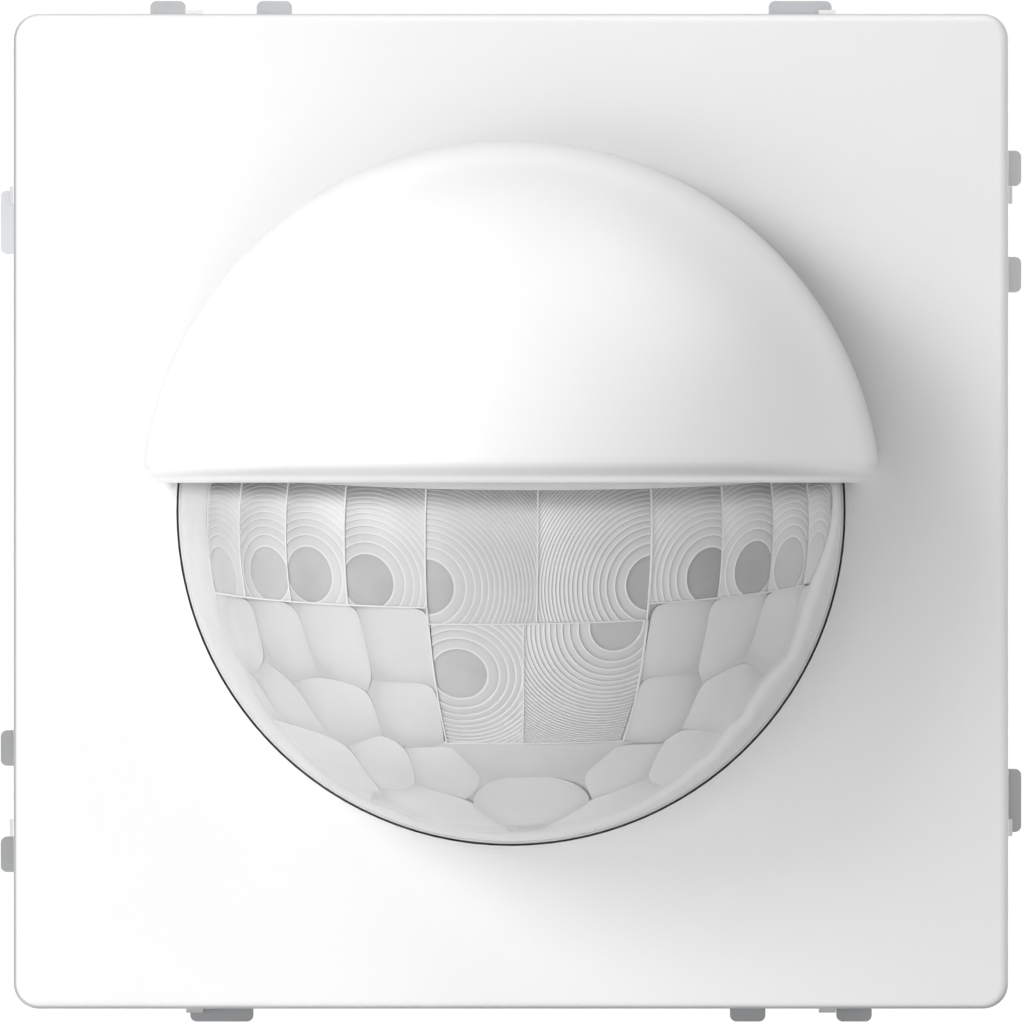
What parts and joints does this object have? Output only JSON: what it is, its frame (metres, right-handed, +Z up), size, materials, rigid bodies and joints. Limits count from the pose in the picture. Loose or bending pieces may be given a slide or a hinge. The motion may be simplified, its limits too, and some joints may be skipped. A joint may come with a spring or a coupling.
{
  "type": "presence detector",
  "caption": "Square wall-mounted presence detector: flat white cover, faceted half-dome lens under a rounded hood, grey comb-tabbed frame, electronics tub and steel ring for a flush box.",
  "frame": {"origin": "centre of the box screws, in the wall plane (rear face of the steel ring)", "axes": "+X to the right seen from the front, +Z up, +Y into the wall; the front looks along -Y"},
  "size_m": [0.072, 0.0664, 0.072],
  "materials": {
    "black": "black",
    "board": "green solder mask",
    "can_metal": "bright sleeve",
    "copper": "enamelled copper winding",
    "dial_grey": "mid grey",
    "frame_grey": "light grey, satin",
    "lamp_red": "tinted lamp",
    "lens_milky": "milky polyethylene, silky",
    "pin_metal": "gold-plated",
    "screw_steel": "bright zinc",
    "sensor_dark": "dark window",
    "steel": "zinc-plated sheet, satin",
    "terminal_grey": "dark grey",
    "terminal_red": "red",
    "tub_dark": "dark grey, fine texture",
    "white": "glossy white"
  },
  "bodies": {
    "wall_ring": {"mounting_ring": "steel"},
    "detector": {"base_frame": "frame_grey", "front_cover": "white", "lens": "lens_milky", "settings_dome": "white", "lens_retainer": "tub_dark", "retainer_screws": "screw_steel", "rear_housing": "tub_dark", "housing_screws": "screw_steel", "main_board": "board", "main_board_screws": "screw_steel", "storage_capacitor": "black", "bus_choke": "copper", "power_inductor": "black", "processor": "black", "main_board_parts": "dial_grey", "board_socket": "black", "board_plug": "black", "plug_pins": "pin_metal", "bus_pins": "pin_metal", "sensor_board": "board", "sensor_board_parts": "dial_grey", "sensor_holder": "black", "motion_sensor_left": "can_metal", "motion_sensor_right": "can_metal", "brightness_sensor": "sensor_dark", "test_lamp": "lamp_red", "program_lamp": "lamp_red", "settings_board": "board", "settings_board_screws": "screw_steel", "dial_potentiometers": "black", "program_switch": "black", "link_pins": "pin_metal", "link_blocks": "black"},
    "hood": {"hood": "white"},
    "time_dial": {"time_dial": "dial_grey"},
    "brightness_dial": {"brightness_dial": "dial_grey"},
    "range_dial": {"range_dial": "dial_grey"},
    "program_button": {"program_button": "dial_grey"},
    "bus_terminal": {"bus_terminal_red": "terminal_red", "bus_terminal_grey": "terminal_grey"}
  },
  "joints": [
    {"name": "detector_pull_off", "type": "slide", "parent": "wall_ring", "child": "detector", "axis": [0, -1, 0], "range_m": [0, 0.03]},
    {"name": "hood_lift_off", "type": "slide", "parent": "detector", "child": "hood", "axis": [0, -1, 0], "range_m": [0, 0.03]},
    {"name": "time_dial_turn", "type": "hinge", "parent": "detector", "child": "time_dial", "pos_m": [-0.01, -0.0247, 0.0094], "axis": [0, -1, 0], "range_deg": [-135, 135]},
    {"name": "brightness_dial_turn", "type": "hinge", "parent": "detector", "child": "brightness_dial", "pos_m": [0, -0.0247, 0.0094], "axis": [0, -1, 0], "range_deg": [-135, 135]},
    {"name": "range_dial_turn", "type": "hinge", "parent": "detector", "child": "range_dial", "pos_m": [0.01, -0.0247, 0.0094], "axis": [0, -1, 0], "range_deg": [-135, 135]},
    {"name": "program_button_press", "type": "slide", "parent": "detector", "child": "program_button", "axis": [0, 1, 0], "range_m": [0, 0.0006], "stiffness_N_per_m": 400, "springref_m": -0.001},
    {"name": "bus_terminal_pull_off", "type": "slide", "parent": "detector", "child": "bus_terminal", "axis": [0, 1, 0], "range_m": [0, 0.012]}
  ]
}
